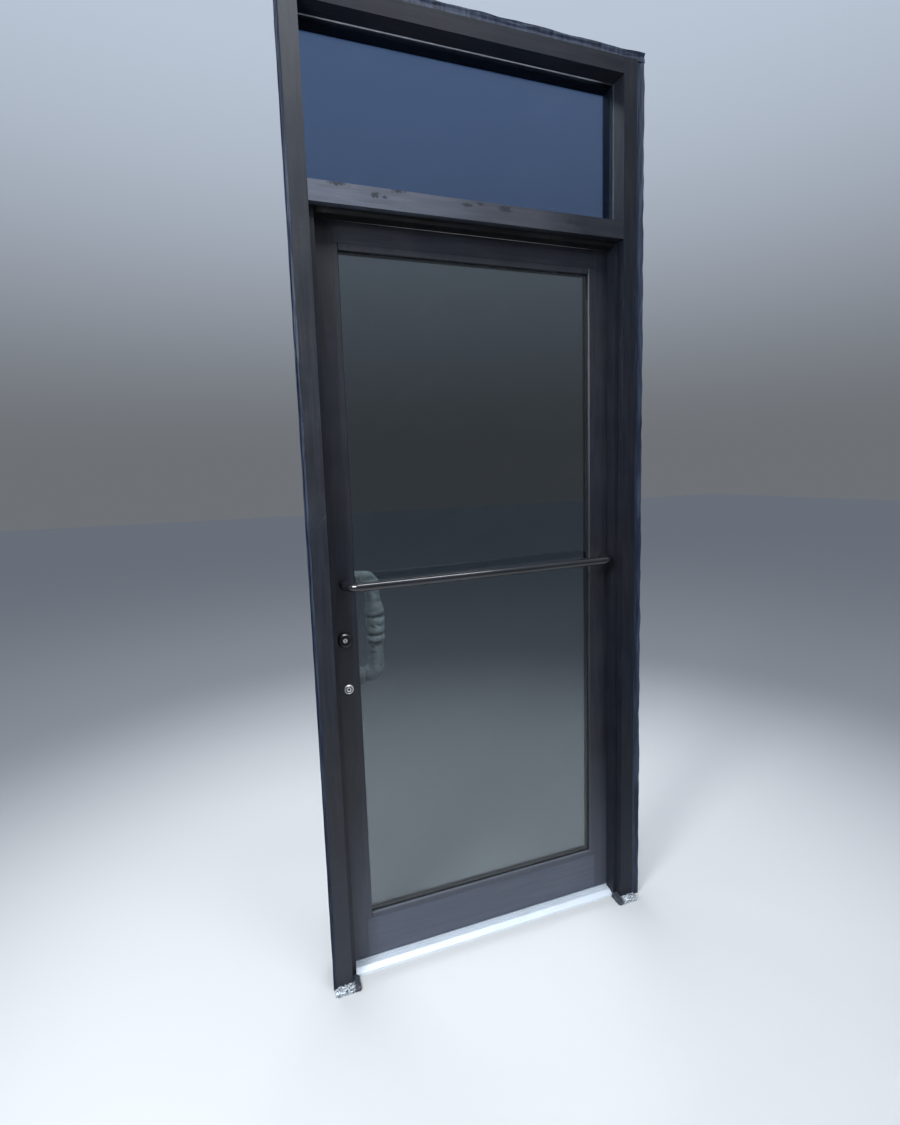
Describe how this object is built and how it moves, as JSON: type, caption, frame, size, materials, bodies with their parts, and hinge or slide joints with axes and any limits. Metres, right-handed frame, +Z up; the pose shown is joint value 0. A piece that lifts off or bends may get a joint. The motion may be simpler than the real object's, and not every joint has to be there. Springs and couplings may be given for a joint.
{
  "type": "glazed entrance door with frame",
  "caption": "Dark aluminium entrance: one inswing glazed leaf with push bar, pull handle and key lock in a hollow frame with a sloped threshold and a fixed light above.",
  "frame": {"origin": "on the floor under the threshold, midway between the jambs and midway through the frame's depth", "axes": "+X to the right seen from outside, +Y from outside into the building, +Z up"},
  "size_m": [1.0434, 0.2176, 2.6706],
  "materials": {
    "frame_paint": "satin dark factory coating",
    "leaf_paint": "satin dark factory coating",
    "bar_paint": "glossy black coating",
    "collar_paint": "glossy black coating",
    "threshold_aluminium": "worn mill finish",
    "mill_aluminium": "mill finish",
    "spacer_aluminium": "mill finish",
    "screw_steel": "zinc plated",
    "hinge_steel": "satin dark coating on steel",
    "brushed_steel": "satin",
    "cylinder_metal": "satin, slightly worn",
    "tinted_glass": "dark grey-blue tint",
    "pale_gasket": "pale grey",
    "gasket_rubber": "black, dull",
    "pile": "grey pile",
    "sealant": "dark, glossy, tooled by hand",
    "foot_sealant": "silvery, crumpled",
    "sleeve_plastic": "pale soft wrap, crumpled"
  },
  "bodies": {
    "frame": {"jamb_left": "frame_paint", "jamb_right": "frame_paint", "jamb_fillers": "frame_paint", "head": "frame_paint", "transom_bar": "frame_paint", "joint_screws": "screw_steel", "stop_left": "frame_paint", "stop_right": "frame_paint", "stop_head": "frame_paint", "pile_strips": "pile", "threshold": "threshold_aluminium", "strike": "brushed_steel", "light_pane_outer": "tinted_glass", "light_pane_inner": "tinted_glass", "light_spacer": "spacer_aluminium", "light_blocks": "gasket_rubber", "light_gasket_outer": "pale_gasket", "light_gasket_inner": "gasket_rubber", "sealant_left": "sealant", "sealant_right": "sealant", "sealant_head": "sealant", "foot_left": "foot_sealant", "foot_right": "foot_sealant", "hinge_frame_leaves": "hinge_steel", "hinge_pins": "hinge_steel"},
    "leaf": {"stile_lock": "leaf_paint", "stile_hinge": "leaf_paint", "rail_bottom": "leaf_paint", "rail_top": "leaf_paint", "corner_blocks": "mill_aluminium", "tie_rods": "screw_steel", "beads_outer": "leaf_paint", "beads_inner": "leaf_paint", "leaf_pane_outer": "tinted_glass", "leaf_pane_inner": "tinted_glass", "leaf_spacer": "spacer_aluminium", "leaf_blocks": "gasket_rubber", "leaf_gasket_outer": "gasket_rubber", "leaf_gasket_inner": "gasket_rubber", "brush": "pile", "hinge_door_leaves": "hinge_steel", "push_bar": "bar_paint", "pull_handle": "bar_paint", "pull_sleeve": "sleeve_plastic", "handle_bolts": "cylinder_metal", "bolt_washers": "cylinder_metal", "lock_case": "screw_steel", "lock_face": "brushed_steel", "key_cylinder": "cylinder_metal", "cylinder_collar": "collar_paint", "turn_rose": "brushed_steel"},
    "deadbolt": {"deadbolt": "brushed_steel"},
    "key_plug": {"key_plug": "cylinder_metal"},
    "thumb_turn": {"thumb_turn": "brushed_steel"}
  },
  "joints": [
    {"name": "leaf_swing", "type": "hinge", "parent": "frame", "child": "leaf", "pos_m": [0.4556, 0.06345, 1], "axis": [0, 0, -1], "range_deg": [0, 100]},
    {"name": "bolt_throw", "type": "slide", "parent": "leaf", "child": "deadbolt", "axis": [-1, 0, 0], "range_m": [0, 0.025]},
    {"name": "key_turn", "type": "hinge", "parent": "leaf", "child": "key_plug", "pos_m": [-0.418, 0.012, 1.0105], "axis": [0, 1, 0], "range_deg": [0, 90.01]},
    {"name": "thumb_turn_turn", "type": "hinge", "parent": "leaf", "child": "thumb_turn", "pos_m": [-0.418, 0.0565, 1.0105], "axis": [0, 1, 0], "range_deg": [-90.01, 0]}
  ],
  "couplings": [
    {"joint": "key_turn", "follows": "bolt_throw", "rad_per_m": 62.832},
    {"joint": "thumb_turn_turn", "follows": "bolt_throw", "rad_per_m": -62.832}
  ]
}
